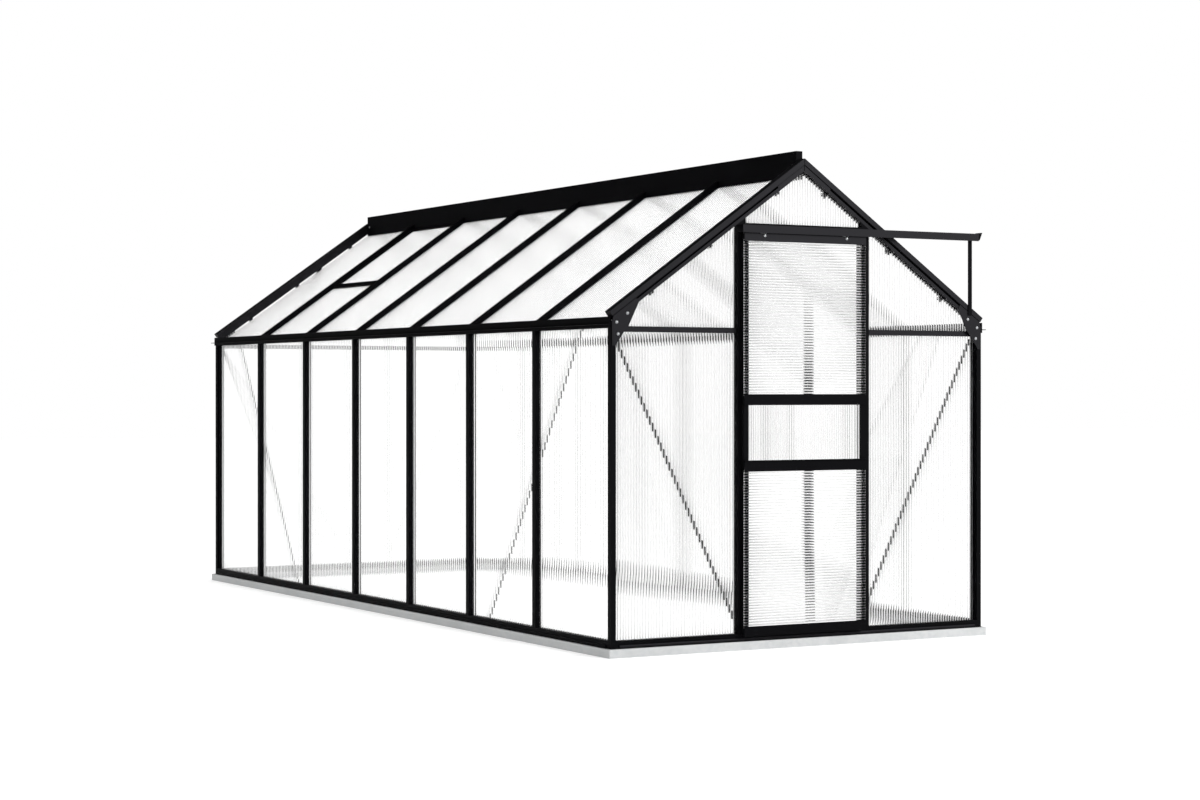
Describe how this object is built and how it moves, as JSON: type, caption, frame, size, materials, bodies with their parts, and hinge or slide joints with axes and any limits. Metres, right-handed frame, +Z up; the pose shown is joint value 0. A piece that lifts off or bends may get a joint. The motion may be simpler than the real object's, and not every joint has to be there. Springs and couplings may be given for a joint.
{
  "type": "polycarbonate greenhouse",
  "caption": "Walk-in greenhouse with a pitched roof: dark aluminium frame, fluted twin-wall sheets, steel base frame, a sliding door on the front gable and a roof vent",
  "frame": {"origin": "on the ground, at the middle of the overall box", "axes": "+X to the right across the front gable, +Y from the front gable to the back one, +Z up"},
  "size_m": [1.956, 4.569, 2.1073],
  "materials": {
    "galvanised_steel": "dull galvanised sheet",
    "powder_coat": "near-black satin powder coat on extruded aluminium",
    "twin_wall_sheet": "fluted translucent polycarbonate",
    "zinc_plate": "bright zinc plate",
    "wheel_nylon": "white nylon"
  },
  "bodies": {
    "house": {"front_base": "galvanised_steel", "back_base": "galvanised_steel", "side_bases": "galvanised_steel", "front_sill": "powder_coat", "back_sill": "powder_coat", "side_sills": "powder_coat", "corner_posts": "powder_coat", "left_studs": "powder_coat", "right_studs": "powder_coat", "left_gutter": "powder_coat", "right_gutter": "powder_coat", "ridge": "powder_coat", "left_rafters": "powder_coat", "right_rafters": "powder_coat", "left_roof_bars": "powder_coat", "right_roof_bars": "powder_coat", "door_posts": "powder_coat", "door_header": "powder_coat", "back_gable_studs": "powder_coat", "front_crossbars": "powder_coat", "back_crossbars": "powder_coat", "gusset_plates": "powder_coat", "gable_braces": "powder_coat", "side_braces": "powder_coat", "front_gable_panels": "twin_wall_sheet", "back_gable_panels": "twin_wall_sheet", "left_wall_panels": "twin_wall_sheet", "right_wall_panels": "twin_wall_sheet", "left_roof_panels": "twin_wall_sheet", "right_roof_panels": "twin_wall_sheet", "vent_crossbar": "powder_coat", "vent_frame": "powder_coat", "vent_panel": "twin_wall_sheet", "door_track": "powder_coat", "track_caps": "powder_coat", "track_brackets": "powder_coat", "track_strut": "powder_coat"},
    "door": {"door_stiles": "powder_coat", "door_head": "powder_coat", "door_middle_rails": "powder_coat", "door_foot": "powder_coat", "door_panels": "twin_wall_sheet", "door_hangers": "zinc_plate", "door_wheels": "wheel_nylon"}
  },
  "joints": [
    {"name": "door_slide", "type": "slide", "parent": "house", "child": "door", "axis": [1, 0, 0], "range_m": [0, 0.6]}
  ]
}
